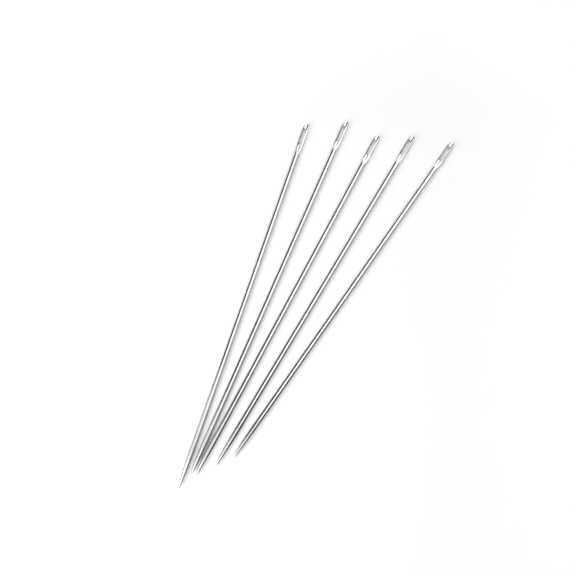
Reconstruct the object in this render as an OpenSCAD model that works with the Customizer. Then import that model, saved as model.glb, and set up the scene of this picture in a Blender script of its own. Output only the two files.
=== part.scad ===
// Set of five long steel yarn needles, laid side by side in a fan.
// Millimetres. +Z is up, +Y runs towards the eyes, +X is to the right.
// The origin is the middle of the set's footprint, on the surface it lies on.
// Each needle is one piece of wire, given as two solids that meet face to face:
// its round shank with the point, and its stamped eye end.

/* [Needle] */
// Length from the point to the end of the head
needle_l = 127; // [115:1:150]
// Diameter of the round shank
shank_d = 2; // [1.8:0.05:2.3]
// Length of the curved point
point_l = 18.5; // [12:0.5:20]
// Fullness of the point: lower is more rounded
point_power = 0.61; // [0.55:0.01:0.8]

/* [Head] */
// Length of the eye end, from the head's end to the round shank
head_l = 12; // [12:0.5:14]
// Width of the head across the eye
head_w = 2.14; // [2.1:0.01:2.3]
// Length of the rounded end of the head
head_dome_l = 1.6; // [1.2:0.1:2.2]
// Thickness between the stamped flats, above and below the eye
flat_t = 1.32; // [1.2:0.02:1.4]
// Thickness that the crowned faces would reach over the eye
crown_t = 1.4; // [1.34:0.02:1.5]
// Radius of the crowned faces beside the eye
crown_r = 2.1; // [1.6:0.05:3]

/* [Eye] */
// Length of the eye
eye_l = 6; // [5:0.05:6.1]
// Width of the eye
eye_w = 1.02; // [0.9:0.01:1.1]
// Distance from the head's end to the eye
eye_from_end = 2.05; // [1.9:0.01:2.2]
// Length of the eye's squarish upper end
eye_top_l = 0.45; // [0.3:0.05:0.7]
// Length of the eye's tapered lower end
eye_low_l = 1.1; // [0.8:0.1:1.5]

/* [Gutters] */
// Width of the upper gutters, from the eye to the head's end
upper_gutter_w = 1.14; // [1:0.01:1.2]
// Depth of the upper gutters
upper_gutter_d = 0.2; // [0.1:0.01:0.22]
// Width of the lower gutters, which lead the yarn out along the shank
lower_gutter_w = 0.6; // [0.5:0.01:0.75]
// Depth of the lower gutters
lower_gutter_d = 0.16; // [0.08:0.01:0.2]
// Length of the lower gutters
lower_gutter_l = 2.3; // [1.6:0.1:2.6]

/* [Layout] */
// How far each needle has rolled to the left, in degrees
roll = 5; // [0:0.5:10]
// Left outer needle: middle, X
left_outer_x = -13.9; // [-16:0.1:-13]
// Left outer needle: middle, Y
left_outer_y = -4.2; // [-6:0.1:-2]
// Left outer needle: angle from +Y towards +X
left_outer_a = 18.85; // [17:0.05:20]
// Left inner needle: middle, X
left_inner_x = -5.3; // [-5.5:0.1:-5]
// Left inner needle: middle, Y
left_inner_y = -1.5; // [-3:0.1:0]
// Left inner needle: angle from +Y towards +X
left_inner_a = 23.4; // [23:0.05:23.8]
// Middle needle: middle, X
middle_x = 0.6; // [0.5:0.1:1.2]
// Middle needle: middle, Y
middle_y = -4.3; // [-5:0.1:-4]
// Middle needle: angle from +Y towards +X
middle_a = 27.95; // [27.5:0.05:28.3]
// Right inner needle: middle, X
right_inner_x = 9.6; // [8.8:0.1:10]
// Right inner needle: middle, Y
right_inner_y = -2.9; // [-4:0.1:-1]
// Right inner needle: angle from +Y towards +X
right_inner_a = 30.8; // [30.2:0.05:31.2]
// Right outer needle: middle, X
right_outer_x = 19; // [18:0.1:22]
// Right outer needle: middle, Y
right_outer_y = -2.8; // [-4:0.1:-1]
// Right outer needle: angle from +Y towards +X
right_outer_a = 34.9; // [34:0.05:37]

/* [Hidden] */

R = shank_d / 2;
HW = head_w / 2;
HT = flat_t / 2;
CROWN_T = crown_t / 2;
ROUND = 64;

// Distances from the head's end: the eye's lower end, the ramps from the
// stamped flats to the faces beside the eye, and the flats' run-out.
eye_low_a = eye_from_end + eye_l;
up_from = eye_from_end - 0.65;
up_to = eye_from_end + 0.45;
low_from = eye_low_a - 0.35;
low_to = eye_low_a + 0.45;
out_from = eye_low_a + 1.15;
out_to = head_l - 0.5;
fade_to = head_l - 1;

function smooth(t) = t * t * (3 - 2 * t);
function clamp(t) = max(0, min(1, t));

// Radius at the distance u from the point.
function point_r(u) = R * pow(max(0, 1 - pow(1 - min(u, point_l) / point_l, 3)), point_power);

// Half width at the distance a from the head's end.
function head_r(a) =
    a < head_dome_l ? HW * sqrt(max(0, 1 - pow(1 - a / head_dome_l, 2)))
    : HW + (R - HW) * smooth(clamp((a - eye_low_a) / (fade_to - eye_low_a)));

// Half thickness of the stamped flats at the distance a from the head's end,
// where they run out into the round shank.
function flat_h(a) = HT + (R * 1.05 - HT) * pow(clamp((a - out_from) / (out_to - out_from)), 1.7);

// Radius of the crowned faces: larger at the flats, and it grows until it
// clears the round shank.
crown_c = crown_r - CROWN_T;
crown_out = sqrt(0.4225 + pow(HT + crown_c, 2)) - crown_r;
function crown_rad(a) = flat_h(a) - HT + crown_r + crown_out
    * (1 - smooth(clamp((a - up_from) / (up_to - up_from)))
         * (1 - smooth(clamp((a - low_from) / (low_to - low_from)))));

// Outlines of half a shank and half an eye end, [radius, distance from the point].
shank_outline = concat(
    [for (i = [0:22]) let (u = point_l * pow(i / 22, 2)) [point_r(u), u]],
    [[R, needle_l - head_l]]);
head_outline = concat(
    [[R, needle_l - head_l]],
    [for (i = [6:-1:0]) let (a = eye_low_a + (fade_to - eye_low_a) * i / 6) [head_r(a), needle_l - a]],
    [for (i = [9:-1:0]) let (a = head_dome_l * (1 - sin(90 * (1 - i / 9)))) [head_r(a), needle_l - a]]);
outline = concat(shank_outline, head_outline);

// The set's footprint, so that its middle is the origin.
LAY = [[left_outer_x, left_outer_y, left_outer_a],
       [left_inner_x, left_inner_y, left_inner_a],
       [middle_x, middle_y, middle_a],
       [right_inner_x, right_inner_y, right_inner_a],
       [right_outer_x, right_outer_y, right_outer_a]];
foot_x = [for (n = LAY, p = outline, w = [-1, 1])
    n[0] + (p[1] - needle_l / 2) * sin(n[2]) + w * p[0] * cos(n[2])];
foot_y = [for (n = LAY, p = outline, w = [-1, 1])
    n[1] + (p[1] - needle_l / 2) * cos(n[2]) - w * p[0] * sin(n[2])];
shift_x = -(min(foot_x) + max(foot_x)) / 2;
shift_y = -(min(foot_y) + max(foot_y)) / 2;

// The eye's outline: squarish end towards the head, tapered end towards the shank.
eye_top = needle_l - eye_from_end;
eye_low = needle_l - eye_low_a;
function eye_half(t, p) = pow(max(0, 1 - pow(t, p)), 1 / p) * eye_w / 2;
eye_side = concat(
    [for (i = [0:8]) let (t = cos(90 * i / 8)) [eye_half(t, 1.9), eye_low + eye_low_l * (1 - t)]],
    [for (i = [0:8]) let (t = sin(90 * i / 8)) [eye_half(t, 3), eye_top - eye_top_l * (1 - t)]]);
eye_outline = concat(eye_side,
    [for (i = [len(eye_side) - 2:-1:1]) [-eye_side[i][0], eye_side[i][1]]]);

// A gutter is a groove of a round section. Upper one: its radius and the
// height of its centre line.
upper_r = (pow(upper_gutter_w / 2, 2) + pow(upper_gutter_d, 2)) / (2 * upper_gutter_d);
upper_c = HT + upper_r - upper_gutter_d;

// Lower one: height of its centre line above the flats, and its radius at the
// distance a from the head's end, which narrows it to a point.
lower_h = (pow(lower_gutter_w / 2, 2) - pow(lower_gutter_d, 2)) / (2 * lower_gutter_d);
lower_from = eye_low_a - 1;
lower_to = eye_low_a + lower_gutter_l;
function lower_r(a) = sqrt(pow(lower_h + HT - flat_h(a), 2)
    + pow(lower_gutter_w / 2, 2) * (1 - pow(clamp((a - lower_from) / (lower_to - lower_from)), 2.2)));
spindle = concat([[0, needle_l - lower_from]],
    [for (i = [0:10]) let (a = lower_from + (lower_to - lower_from) * sin(9 * i)) [lower_r(a), needle_l - a]],
    [[0, needle_l - lower_to - 0.02]]);

// The round shank with its point.
module shank() {
    rotate_extrude($fn = ROUND) polygon(concat(shank_outline, [[0, needle_l - head_l]]));
}

// Stations along the head at which its stamped faces are drawn.
outs = [for (i = [0:7]) out_from + (out_to - out_from) * i / 7];
ramps = concat([for (i = [0:5]) up_from + (up_to - up_from) * i / 5],
    [for (i = [0:5]) low_from + (low_to - low_from) * i / 5], outs);

// The eye end before it is pierced: round wire, stamped flat on two faces.
module head_blank() {
    intersection() {
        rotate_extrude($fn = ROUND) polygon(concat([[0, needle_l - head_l]], head_outline));
        rotate([90, 0, 90]) linear_extrude(height = 3 * shank_d, center = true)
            polygon(concat(
                [[HT, needle_l + 1]],
                [for (a = outs) [flat_h(a), needle_l - a]],
                [[R * 1.05, needle_l - head_l - 1], [-R * 1.05, needle_l - head_l - 1]],
                [for (i = [len(outs) - 1:-1:0]) [-flat_h(outs[i]), needle_l - outs[i]]],
                [[-HT, needle_l + 1]]));
        crown(1);
        crown(-1);
    }
}

// The round that crowns one face beside the eye.
module crown(side) {
    translate([0, -side * crown_c, 0]) rotate_extrude($fn = 2 * ROUND) polygon(concat(
        [[0, needle_l + 1], [crown_rad(0), needle_l + 1]],
        [for (a = ramps) [crown_rad(a), needle_l - a]],
        [[crown_rad(head_l), needle_l - head_l - 1], [0, needle_l - head_l - 1]]));
}

// The eye's through slot.
module eye() {
    rotate([90, 0, 0]) linear_extrude(height = 2 * shank_d, center = true) polygon(eye_outline);
}

// The gutters of one face: a long lens below the eye, an open channel above it.
module gutters(side) {
    translate([0, side * (HT + lower_h), 0]) rotate_extrude($fn = ROUND) polygon(spindle);
    translate([0, side * upper_c, eye_top - eye_top_l])
        cylinder(r = upper_r, h = eye_from_end + eye_top_l + 1, $fn = ROUND);
}

// The eye end, pierced and grooved.
module head() {
    difference() {
        head_blank();
        eye();
        gutters(1);
        gutters(-1);
    }
}

// Lays a needle that stands on its point, eye open along Y, on its side with its eye facing up.
module laid(n) {
    translate([LAY[n][0] + shift_x, LAY[n][1] + shift_y, R])
        rotate([0, 0, -LAY[n][2]]) rotate([-90, 0, 0]) rotate([0, 0, -roll])
            translate([0, 0, -needle_l / 2]) children();
}

module left_outer_shank() { color("silver") laid(0) shank(); }
module left_outer_eye() { color("silver") laid(0) head(); }
module left_inner_shank() { color("silver") laid(1) shank(); }
module left_inner_eye() { color("silver") laid(1) head(); }
module middle_shank() { color("silver") laid(2) shank(); }
module middle_eye() { color("silver") laid(2) head(); }
module right_inner_shank() { color("silver") laid(3) shank(); }
module right_inner_eye() { color("silver") laid(3) head(); }
module right_outer_shank() { color("silver") laid(4) shank(); }
module right_outer_eye() { color("silver") laid(4) head(); }

left_outer_shank();
left_outer_eye();
left_inner_shank();
left_inner_eye();
middle_shank();
middle_eye();
right_inner_shank();
right_inner_eye();
right_outer_shank();
right_outer_eye();
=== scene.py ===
"""Looks of the yarn needle set: five polished needles, each one mesh lofted from its point to its eye, on a white floor."""

import math

import bmesh
import bpy
import numpy as np
from mathutils import Matrix, Vector


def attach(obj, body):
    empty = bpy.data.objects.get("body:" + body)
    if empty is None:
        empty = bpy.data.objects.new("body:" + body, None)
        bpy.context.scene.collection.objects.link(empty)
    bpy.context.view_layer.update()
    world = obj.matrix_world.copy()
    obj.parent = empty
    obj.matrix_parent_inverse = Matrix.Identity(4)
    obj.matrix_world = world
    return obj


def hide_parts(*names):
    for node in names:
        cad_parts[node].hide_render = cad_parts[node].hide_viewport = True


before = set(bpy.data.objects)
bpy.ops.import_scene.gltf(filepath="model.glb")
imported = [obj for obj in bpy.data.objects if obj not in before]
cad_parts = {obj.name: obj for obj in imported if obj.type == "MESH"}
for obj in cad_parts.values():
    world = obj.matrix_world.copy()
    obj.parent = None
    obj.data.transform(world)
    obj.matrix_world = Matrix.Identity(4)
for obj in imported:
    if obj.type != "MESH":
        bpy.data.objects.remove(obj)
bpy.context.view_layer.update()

MM = 0.001

# ---------------------------------------------------------------- sizes, mm
L = 127.0  # point to head end
R = 1.0  # shank radius
POINT = 18.5  # length of the point
POWER = 0.61
HW = 1.066  # half width of the head, which keeps the smooth mesh inside the CAD box
HT = 0.66  # half thickness at the stamped flats, above and below the eye
EYE_T = 0.70  # half thickness that the crowned faces would have over the eye
CROWN_R = 2.1  # radius of the crowned faces beside the eye
CROWN_C = CROWN_R - EYE_T
CROWN_OUT = math.sqrt(0.65**2 + (HT + CROWN_C) ** 2) - CROWN_R  # how much larger it is at the flats
DOME = 1.6
EYE_TOP, EYE_LEN, EYE_W = 2.05, 6.0, 1.02  # distances from the head's end
EYE_LOW = EYE_TOP + EYE_LEN
EYE_TOP_L, EYE_LOW_L = 0.45, 1.1
FLAT_UP = (EYE_TOP - 0.65, EYE_TOP + 0.45)  # the upper flat rises to the eye between these
FLAT_LOW = (EYE_LOW - 0.35, EYE_LOW + 0.45)  # and falls again to the lower flat
FLAT_OUT = (EYE_LOW + 1.15, 11.5)  # which runs out into the shank
FADE = (EYE_LOW, 11.0)  # the head narrows to the shank between these
GUT_W, GUT_D = 1.14, 0.20  # the upper gutter
LOW_W, LOW_D, LOW_L = 0.60, 0.16, 2.3  # the lower gutter
GUT_R = ((GUT_W / 2) ** 2 + GUT_D**2) / (2 * GUT_D)
GUT_C = HT + GUT_R - GUT_D
LOW_H = ((LOW_W / 2) ** 2 - LOW_D**2) / (2 * LOW_D)

ROLL = -5.0  # how far each needle has rolled to the left, degrees

# middle of each needle on the floor, and its angle from +Y towards +X
LAYOUT = {
    "left_outer": (-13.9, -4.2, 18.85),
    "left_inner": (-5.3, -1.5, 23.4),
    "middle": (0.6, -4.3, 27.95),
    "right_inner": (9.6, -2.9, 30.8),
    "right_outer": (19.0, -2.8, 34.9),
}


def point_r(u):
    return R * (1 - (1 - np.minimum(u, POINT) / POINT) ** 3) ** POWER


def smooth(t):
    t = np.clip(t, 0, 1)
    return t * t * (3 - 2 * t)


def head_r(a):
    a = np.asarray(a, float)
    d = HW * np.sqrt(np.maximum(0, 1 - (1 - np.minimum(a, DOME) / DOME) ** 2))
    return np.where(a < DOME, d, HW + (R - HW) * smooth((a - FADE[0]) / (FADE[1] - FADE[0])))


def width(a):
    """Half width of the needle at the distance a from the head's end."""
    a = np.asarray(a, float)
    return np.where(a < 12.5, head_r(a), point_r(np.maximum(L - a, 0)))


def flat(a):
    """Half thickness of the stamped flats, which run out into the shank."""
    a = np.asarray(a, float)
    return HT + (R * 1.05 - HT) * np.clip((a - FLAT_OUT[0]) / (FLAT_OUT[1] - FLAT_OUT[0]), 0, 1) ** 1.7


def beside(a):
    """1 beside the eye, 0 at the flats above and below it."""
    up = smooth((a - FLAT_UP[0]) / (FLAT_UP[1] - FLAT_UP[0]))
    low = smooth((a - FLAT_LOW[0]) / (FLAT_LOW[1] - FLAT_LOW[0]))
    return up * (1 - low)


def smin(a, b, k):
    h = np.maximum(k - np.abs(a - b), 0) / k
    return np.minimum(a, b) - h * h * k * 0.25


def eye_half(a):
    """Half width of the eye at a, 0 outside it."""
    a = np.asarray(a, float)
    up = np.clip(1 - (a - EYE_TOP) / EYE_TOP_L, 0, 1)
    low = np.clip(1 - (EYE_LOW - a) / EYE_LOW_L, 0, 1)
    e = (1 - up**3) ** (1 / 3) * (1 - low**1.9) ** (1 / 1.9) * EYE_W / 2
    return np.where((a > EYE_TOP) & (a < EYE_LOW), e, 0.0)


def eye_outline():
    ph = np.linspace(0, math.pi / 2, 60)
    t = np.sin(ph)
    top_a = EYE_TOP + EYE_TOP_L * (1 - t)
    t2 = np.cos(ph)
    low_a = EYE_LOW - EYE_LOW_L * (1 - t2)
    a = np.concatenate([top_a[::-1], np.linspace(top_a[0], low_a[-1], 60)[1:-1], low_a[::-1]])
    e = eye_half(a)
    return np.stack([np.concatenate([e, -e[::-1]]), np.concatenate([a, a[::-1]])], 1)


OUTLINE = eye_outline()


def outline_distance(x, a):
    p = np.stack([x.ravel(), a.ravel()], 1)
    s, e = OUTLINE, np.roll(OUTLINE, -1, 0)
    d = e - s
    ll = np.maximum((d * d).sum(1), 1e-12)
    best = np.full(len(p), 1e9)
    for i in range(len(s)):
        t = np.clip(((p - s[i]) @ d[i]) / ll[i], 0, 1)
        q = s[i] + t[:, None] * d[i]
        best = np.minimum(best, ((p - q) ** 2).sum(1))
    return np.sqrt(best).reshape(x.shape)


def thickness(x, a, w):
    """Half thickness at x across and a along, on a station of half width w."""
    c = np.sqrt(np.maximum(w * w - x * x, 0))
    rho = CROWN_R + CROWN_OUT * (1 - beside(a)) + flat(a) - HT
    crown = np.sqrt(np.maximum(rho * rho - x * x, 0)) - CROWN_C
    t = smin(c, smin(flat(a), crown, 0.03), 0.08)
    # the lower gutter, which starts in the eye and ends in a point
    s = np.clip((a - EYE_LOW + 1) / (LOW_L + 1), 0, 1)
    r = np.sqrt((LOW_H + HT - flat(a)) ** 2 + (LOW_W / 2) ** 2 * (1 - s**2.2))
    g = np.where((np.abs(x) < r) & (s > 0) & (s < 1), HT + LOW_H - np.sqrt(np.maximum(r * r - x * x, 0)), 9.0)
    t = smin(t, g, 0.03)
    # the upper gutter, an open channel to the head's end
    g = np.where((np.abs(x) < GUT_R) & (a < EYE_TOP + EYE_TOP_L), GUT_C - np.sqrt(np.maximum(GUT_R**2 - x * x, 0)), 9.0)
    t = smin(t, g, 0.05)
    return np.minimum(t, c)


def edge_round(x, a, t):
    """The eye's edge, rounded by polishing."""
    near = (a > EYE_TOP - 1) & (a < EYE_LOW + 1)
    if not near.any():
        return t
    d = outline_distance(x, a)
    rho = 0.09 + 0.10 * smooth((EYE_TOP + 0.5 - a) / 0.5)
    rho = np.minimum(rho, np.maximum(t - 0.05, 0.02))
    k = np.clip(rho - d, 0, None)
    cut = rho - np.sqrt(np.maximum(rho * rho - k * k, 0))
    return np.where(near, np.maximum(t - cut, 0.03), t)


def stations():
    """Distances from the head's end, and whether the eye is open there, from point to head."""
    tip = POINT * (np.arange(1, 71) / 70) ** 1.8
    a = list(L - tip)
    a += list(np.linspace(L - POINT, 12.4, 36)[1:])
    a += list(np.linspace(12.4, EYE_LOW, 74)[1:-1])
    ph = np.linspace(0, math.pi / 2, 18)
    low = list(EYE_LOW - EYE_LOW_L * (1 - np.cos(ph)))
    mid = list(np.linspace(EYE_LOW - EYE_LOW_L, EYE_TOP + EYE_TOP_L, 30)[1:-1])
    top = list(EYE_TOP + EYE_TOP_L * (1 - np.sin(np.linspace(0, math.pi / 2, 16))))
    n0 = len(a)
    a += low + mid + top
    n1 = len(a) - 1
    a += [EYE_TOP - 0.45 * (i / 14) ** 1.6 for i in range(1, 14)]
    first = a[-1]
    psi0 = math.acos(1 - min(first, DOME * 0.999) / DOME)
    a += [DOME * (1 - math.cos(p)) for p in np.linspace(psi0, math.radians(2.5), 26)[1:]]
    return np.array(a), n0, n1


def needle_mesh(name):
    a, n0, n1 = stations()
    n = len(a)
    K, M = 20, 6
    m = (1 - np.cos(np.pi * np.arange(K + 1) / K)) / 2
    w = width(a)
    e = eye_half(a)
    e[n0] = e[n1] = 0
    x = e[:, None] + (w - e)[:, None] * m[None]
    A = np.repeat(a[:, None], K + 1, 1)
    t = thickness(x, A, w[:, None])
    t = edge_round(x, A, t)
    t[:, K] = 0
    verts, ids = [], {}

    def put(key, p):
        ids[key] = len(verts)
        verts.append(p)
        return ids[key]

    TR, TL, BR, BL = (np.zeros((n, K + 1), int) for _ in range(4))
    WR, WL = {}, {}
    for i in range(n):
        y = L - a[i]
        is_open = n0 < i < n1
        for j in range(K + 1):
            X, T = x[i, j], t[i, j]
            if j == 0 and not is_open:
                TR[i, j] = TL[i, j] = put((i, j, "t"), (0.0, y, T))
                BR[i, j] = BL[i, j] = put((i, j, "b"), (0.0, y, -T))
            elif j == K:
                TR[i, j] = BR[i, j] = put((i, j, "r"), (X, y, 0.0))
                TL[i, j] = BL[i, j] = put((i, j, "l"), (-X, y, 0.0))
            else:
                TR[i, j] = put((i, j, "tr"), (X, y, T))
                TL[i, j] = put((i, j, "tl"), (-X, y, T))
                BR[i, j] = put((i, j, "br"), (X, y, -T))
                BL[i, j] = put((i, j, "bl"), (-X, y, -T))
        if n0 <= i <= n1:
            T = t[i, 0]
            for q in range(1, M):
                z = T * (1 - 2 * q / M)
                if is_open:
                    WR[i, q] = put((i, q, "wr"), (x[i, 0], y, z))
                    WL[i, q] = put((i, q, "wl"), (-x[i, 0], y, z))
                else:
                    WR[i, q] = WL[i, q] = put((i, q, "w"), (0.0, y, z))
            WR[i, 0], WR[i, M] = TR[i, 0], BR[i, 0]
            WL[i, 0], WL[i, M] = TL[i, 0], BL[i, 0]
    faces = []
    for i in range(n - 1):
        for j in range(K):
            faces.append((TR[i, j], TR[i, j + 1], TR[i + 1, j + 1], TR[i + 1, j]))
            faces.append((TL[i, j + 1], TL[i, j], TL[i + 1, j], TL[i + 1, j + 1]))
            faces.append((BR[i, j + 1], BR[i, j], BR[i + 1, j], BR[i + 1, j + 1]))
            faces.append((BL[i, j], BL[i, j + 1], BL[i + 1, j + 1], BL[i + 1, j]))
        if n0 <= i < n1:
            for q in range(M):
                faces.append((WR[i, q], WR[i + 1, q], WR[i + 1, q + 1], WR[i, q + 1]))
                faces.append((WL[i + 1, q], WL[i, q], WL[i, q + 1], WL[i + 1, q + 1]))
    for i, y in ((0, L), (n - 1, 0.0)):
        ring = list(TR[i]) + list(BR[i][-2::-1]) + list(BL[i][1:]) + list(TL[i][-2:0:-1])
        pole = put(("pole", i), (0.0, L - y, 0.0))
        for p, q in zip(ring, ring[1:] + ring[:1]):
            faces.append((pole, p, q) if i == 0 else (pole, q, p))
    me = bpy.data.meshes.new(name)
    me.from_pydata([(p[0] * MM, p[1] * MM, p[2] * MM) for p in verts], [], [tuple(int(v) for v in f) for f in faces])
    me.validate()
    bm = bmesh.new()
    bm.from_mesh(me)
    bmesh.ops.recalc_face_normals(bm, faces=bm.faces)
    bm.to_mesh(me)
    bm.free()
    me.update()
    for p in me.polygons:
        p.use_smooth = True
    return me


# ---------------------------------------------------------------- material
def steel_material():
    mat = bpy.data.materials.new("nickel_steel")
    mat.use_nodes = True
    nt = mat.node_tree
    bsdf = nt.nodes["Principled BSDF"]
    bsdf.inputs["Metallic"].default_value = 1.0

    def node(kind, **values):
        nd = nt.nodes.new(kind)
        for k, v in values.items():
            setattr(nd, k, v)
        return nd

    coord = node("ShaderNodeAttribute", attribute_name="own")
    # long streaks left by drawing and polishing, along the needle
    m1 = node("ShaderNodeMapping")
    m1.inputs["Scale"].default_value = (9000, 120, 9000)
    nt.links.new(coord.outputs["Vector"], m1.inputs["Vector"])
    streak = node("ShaderNodeTexNoise")
    streak.inputs["Scale"].default_value = 1.0
    streak.inputs["Detail"].default_value = 4.0
    nt.links.new(m1.outputs[0], streak.inputs["Vector"])
    # slow changes of the plating along the wire
    m2 = node("ShaderNodeMapping")
    m2.inputs["Scale"].default_value = (500, 160, 500)
    nt.links.new(coord.outputs["Vector"], m2.inputs["Vector"])
    cloud = node("ShaderNodeTexNoise")
    cloud.inputs["Scale"].default_value = 1.0
    cloud.inputs["Detail"].default_value = 3.0
    nt.links.new(m2.outputs[0], cloud.inputs["Vector"])
    tint = node("ShaderNodeValToRGB")
    tint.color_ramp.elements[0].position = 0.3
    tint.color_ramp.elements[0].color = (0.615, 0.605, 0.609, 1)
    tint.color_ramp.elements[1].position = 0.7
    tint.color_ramp.elements[1].color = (0.695, 0.685, 0.689, 1)
    nt.links.new(cloud.outputs["Fac"], tint.inputs["Fac"])
    nt.links.new(tint.outputs["Color"], bsdf.inputs["Base Color"])
    rough = node("ShaderNodeMapRange")
    rough.inputs["From Min"].default_value = 0.3
    rough.inputs["From Max"].default_value = 0.75
    rough.inputs["To Min"].default_value = 0.05
    rough.inputs["To Max"].default_value = 0.12
    nt.links.new(streak.outputs["Fac"], rough.inputs["Value"])
    nt.links.new(rough.outputs["Result"], bsdf.inputs["Roughness"])
    bump = node("ShaderNodeBump")
    bump.inputs["Strength"].default_value = 0.01
    bump.inputs["Distance"].default_value = 0.00001
    nt.links.new(streak.outputs["Fac"], bump.inputs["Height"])
    nt.links.new(bump.outputs["Normal"], bsdf.inputs["Normal"])
    return mat


steel = steel_material()

# ---------------------------------------------------------------- needles
# the footprint's middle is the origin, as in the CAD
us = POINT * (np.arange(23) / 22) ** 2
outline = [(float(point_r(u)), float(u)) for u in us] + [(R, L - 12.0)]
outline += [(float(head_r(a)), L - a) for a in (FADE[0] + (FADE[1] - FADE[0]) * np.arange(6, -1, -1) / 6)]
outline += [(float(head_r(a)), L - a) for a in (DOME * (1 - np.sin(np.pi / 2 * (1 - np.arange(9, -1, -1) / 9))))]
fx, fy = [], []
for mx, my, ang in LAYOUT.values():
    s, c = math.sin(math.radians(ang)), math.cos(math.radians(ang))
    for r, u in outline:
        for k in (-1, 1):
            fx.append(mx + (u - L / 2) * s + k * r * c)
            fy.append(my + (u - L / 2) * c - k * r * s)
SHIFT = (-(min(fx) + max(fx)) / 2, -(min(fy) + max(fy)) / 2)

base = needle_mesh("needle_mesh")
own = np.array([v.co for v in base.vertices], np.float32)
for k, (key, (mx, my, ang)) in enumerate(LAYOUT.items()):
    me = base.copy()
    me.name = "needle_" + key + "_mesh"
    me.materials.append(steel)
    # the needle's own coordinates, for its finish: across, along from the point, up
    at = me.attributes.new("own", "FLOAT_VECTOR", "POINT")
    at.data.foreach_set("vector", (own + np.array((0, 0.31 * k, 0), np.float32)).ravel())
    ob = bpy.data.objects.new("needle_" + key, me)
    bpy.context.scene.collection.objects.link(ob)
    s, c = math.sin(math.radians(ang)), math.cos(math.radians(ang))
    x = mx + SHIFT[0] - s * L / 2
    y = my + SHIFT[1] - c * L / 2
    me.transform(
        Matrix.Translation((x * MM, y * MM, R * MM))
        @ Matrix.Rotation(-math.radians(ang), 4, "Z")
        @ Matrix.Rotation(math.radians(ROLL), 4, "Y")
    )
    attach(ob, "needle_" + key)
    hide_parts(key + "_shank", key + "_eye")
bpy.data.meshes.remove(base)

# ---------------------------------------------------------------- floor
me = bpy.data.meshes.new("floor_mesh")
F = 3.0
me.from_pydata([(-F, -F, 0), (F, -F, 0), (F, F, 0), (-F, F, 0)], [], [(0, 1, 2, 3)])
floor = bpy.data.objects.new("floor", me)
bpy.context.scene.collection.objects.link(floor)
floor.location.z = -0.00002
fm = bpy.data.materials.new("floor_white")
fm.use_nodes = True
fb = fm.node_tree.nodes["Principled BSDF"]
fb.inputs["Base Color"].default_value = (0.9, 0.9, 0.9, 1)
fb.inputs["Roughness"].default_value = 0.9
fb.inputs["Specular IOR Level"].default_value = 0.1
# painted light: the floor's colour is made paler towards its right and far edges, to make up for the light that falls
# off there
fn = fm.node_tree
spot = fn.nodes.new("ShaderNodeTexCoord")
xyz = fn.nodes.new("ShaderNodeSeparateXYZ")
fn.links.new(spot.outputs["Object"], xyz.inputs[0])
painted_light_sum = fn.nodes.new("ShaderNodeMath")
painted_light_sum.operation = "ADD"
for slot, (axis, start, end, gain) in enumerate((("X", 0.039, 0.099, 0.09), ("Y", 0.066, 0.111, 0.08))):
    painted_light_ramp = fn.nodes.new("ShaderNodeMapRange")
    painted_light_ramp.inputs["From Min"].default_value = start
    painted_light_ramp.inputs["From Max"].default_value = end
    painted_light_ramp.inputs["To Min"].default_value = 0.45
    painted_light_ramp.inputs["To Max"].default_value = 0.45 + gain
    fn.links.new(xyz.outputs[axis], painted_light_ramp.inputs["Value"])
    fn.links.new(painted_light_ramp.outputs["Result"], painted_light_sum.inputs[slot])
# the painted light's colour is capped at 0.98
top = fn.nodes.new("ShaderNodeMath")
top.operation = "MINIMUM"
top.inputs[1].default_value = 0.98
fn.links.new(painted_light_sum.outputs[0], top.inputs[0])
fn.links.new(top.outputs[0], fb.inputs["Base Color"])
me.materials.append(fm)

# ---------------------------------------------------------------- light
scene = bpy.context.scene
world = bpy.data.worlds.new("studio")
scene.world = world
world.use_nodes = True
nt = world.node_tree
bg = nt.nodes["Background"]
bg.inputs[1].default_value = 1.0
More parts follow.
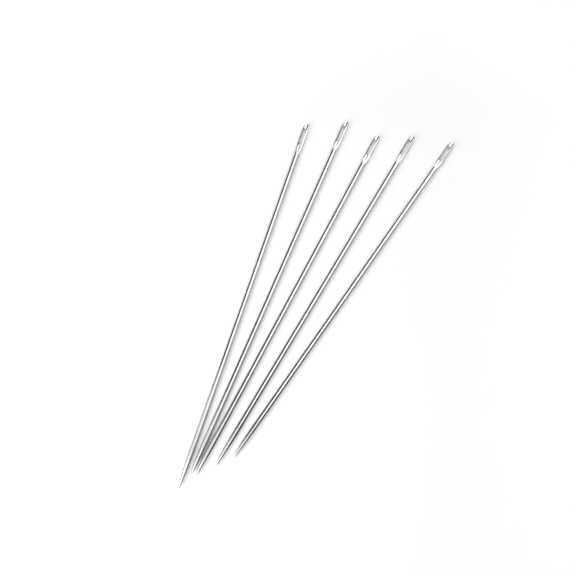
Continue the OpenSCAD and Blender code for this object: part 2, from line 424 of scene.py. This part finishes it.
# the studio's walls, by compass direction: 0 is +Y, 90 is +X
WALLS = [(-180, 0.50), (-150, 0.80), (-125, 0.30), (-108, 0.12), (-36, 0.12), (-14, 0.60), (10, 0.90), (60, 0.80), (85, 0.60), (101, 0.60), (119, 0.06), (150, 0.05)]
coord = nt.nodes.new("ShaderNodeTexCoord")
around = nt.nodes.new("ShaderNodeTexGradient")
around.gradient_type = "RADIAL"
nt.links.new(coord.outputs["Generated"], around.inputs["Vector"])
wall = nt.nodes.new("ShaderNodeValToRGB")
stops = sorted(((0.75 - az / 360) % 1.0, v) for az, v in WALLS)
wall.color_ramp.interpolation = "LINEAR"
while len(wall.color_ramp.elements) < len(stops):
    wall.color_ramp.elements.new(0.5)
for e, (pos, v) in zip(wall.color_ramp.elements, stops):
    e.position = pos
for e, (pos, v) in zip(wall.color_ramp.elements, stops):
    e.color = (v, v, v, 1)
nt.links.new(around.outputs["Fac"], wall.inputs["Fac"])
nt.links.new(wall.outputs["Color"], bg.inputs["Color"])


def softbox(name, azimuth, tilt, dist, size_x, size_y, radiance, colour=(1, 1, 1)):
    """An area light at that tilt from straight up, towards azimuth (0 is +Y, 90 is +X), facing the set. size_x is across the tilt's plane."""
    az, ti = math.radians(azimuth), math.radians(tilt)
    d = Vector((math.sin(az) * math.sin(ti), math.cos(az) * math.sin(ti), math.cos(ti)))
    lamp = bpy.data.lights.new(name, "AREA")
    lamp.shape = "RECTANGLE"
    lamp.size, lamp.size_y = size_x, size_y
    lamp.energy = radiance * math.pi * size_x * size_y
    lamp.color = colour
    ob = bpy.data.objects.new(name, lamp)
    scene.collection.objects.link(ob)
    z = d
    side = Vector((math.cos(az), -math.sin(az), 0))
    y = z.cross(side)
    ob.matrix_world = Matrix.Translation(d * dist) @ Matrix((side, y, z)).transposed().to_4x4()
    return ob


# azimuth, tilt, distance, size across, size along the tilt, radiance
softbox("overhead", -62, -2, 0.80, 1.60, 0.76, 1.25)
softbox("overhead_heads", 28, 22.4, 0.865, 0.76, 0.70, 0.45)
softbox("key", -115, 52, 0.26, 0.12, 0.12, 4.2)
softbox("low", -92, 52, 0.24, 0.09, 0.12, 1.4)

# ---------------------------------------------------------------- camera
cam = bpy.data.cameras.new("camera")
cam_ob = bpy.data.objects.new("camera", cam)
scene.collection.objects.link(cam_ob)
scene.camera = cam_ob
EL, DIST = math.radians(80), 0.330
target = Vector((SHIFT[0] * MM, SHIFT[1] * MM, 0))
cam_ob.location = target + Vector((0, -math.cos(EL) * DIST, math.sin(EL) * DIST))
cam_ob.rotation_euler = (target - cam_ob.location).to_track_quat("-Z", "Y").to_euler()
cam.sensor_width = 36
cam.lens = 36 * 1006.8 / 576
cam.clip_start = 0.01
scene.view_settings.view_transform = "Standard"
scene.view_settings.look = "None"
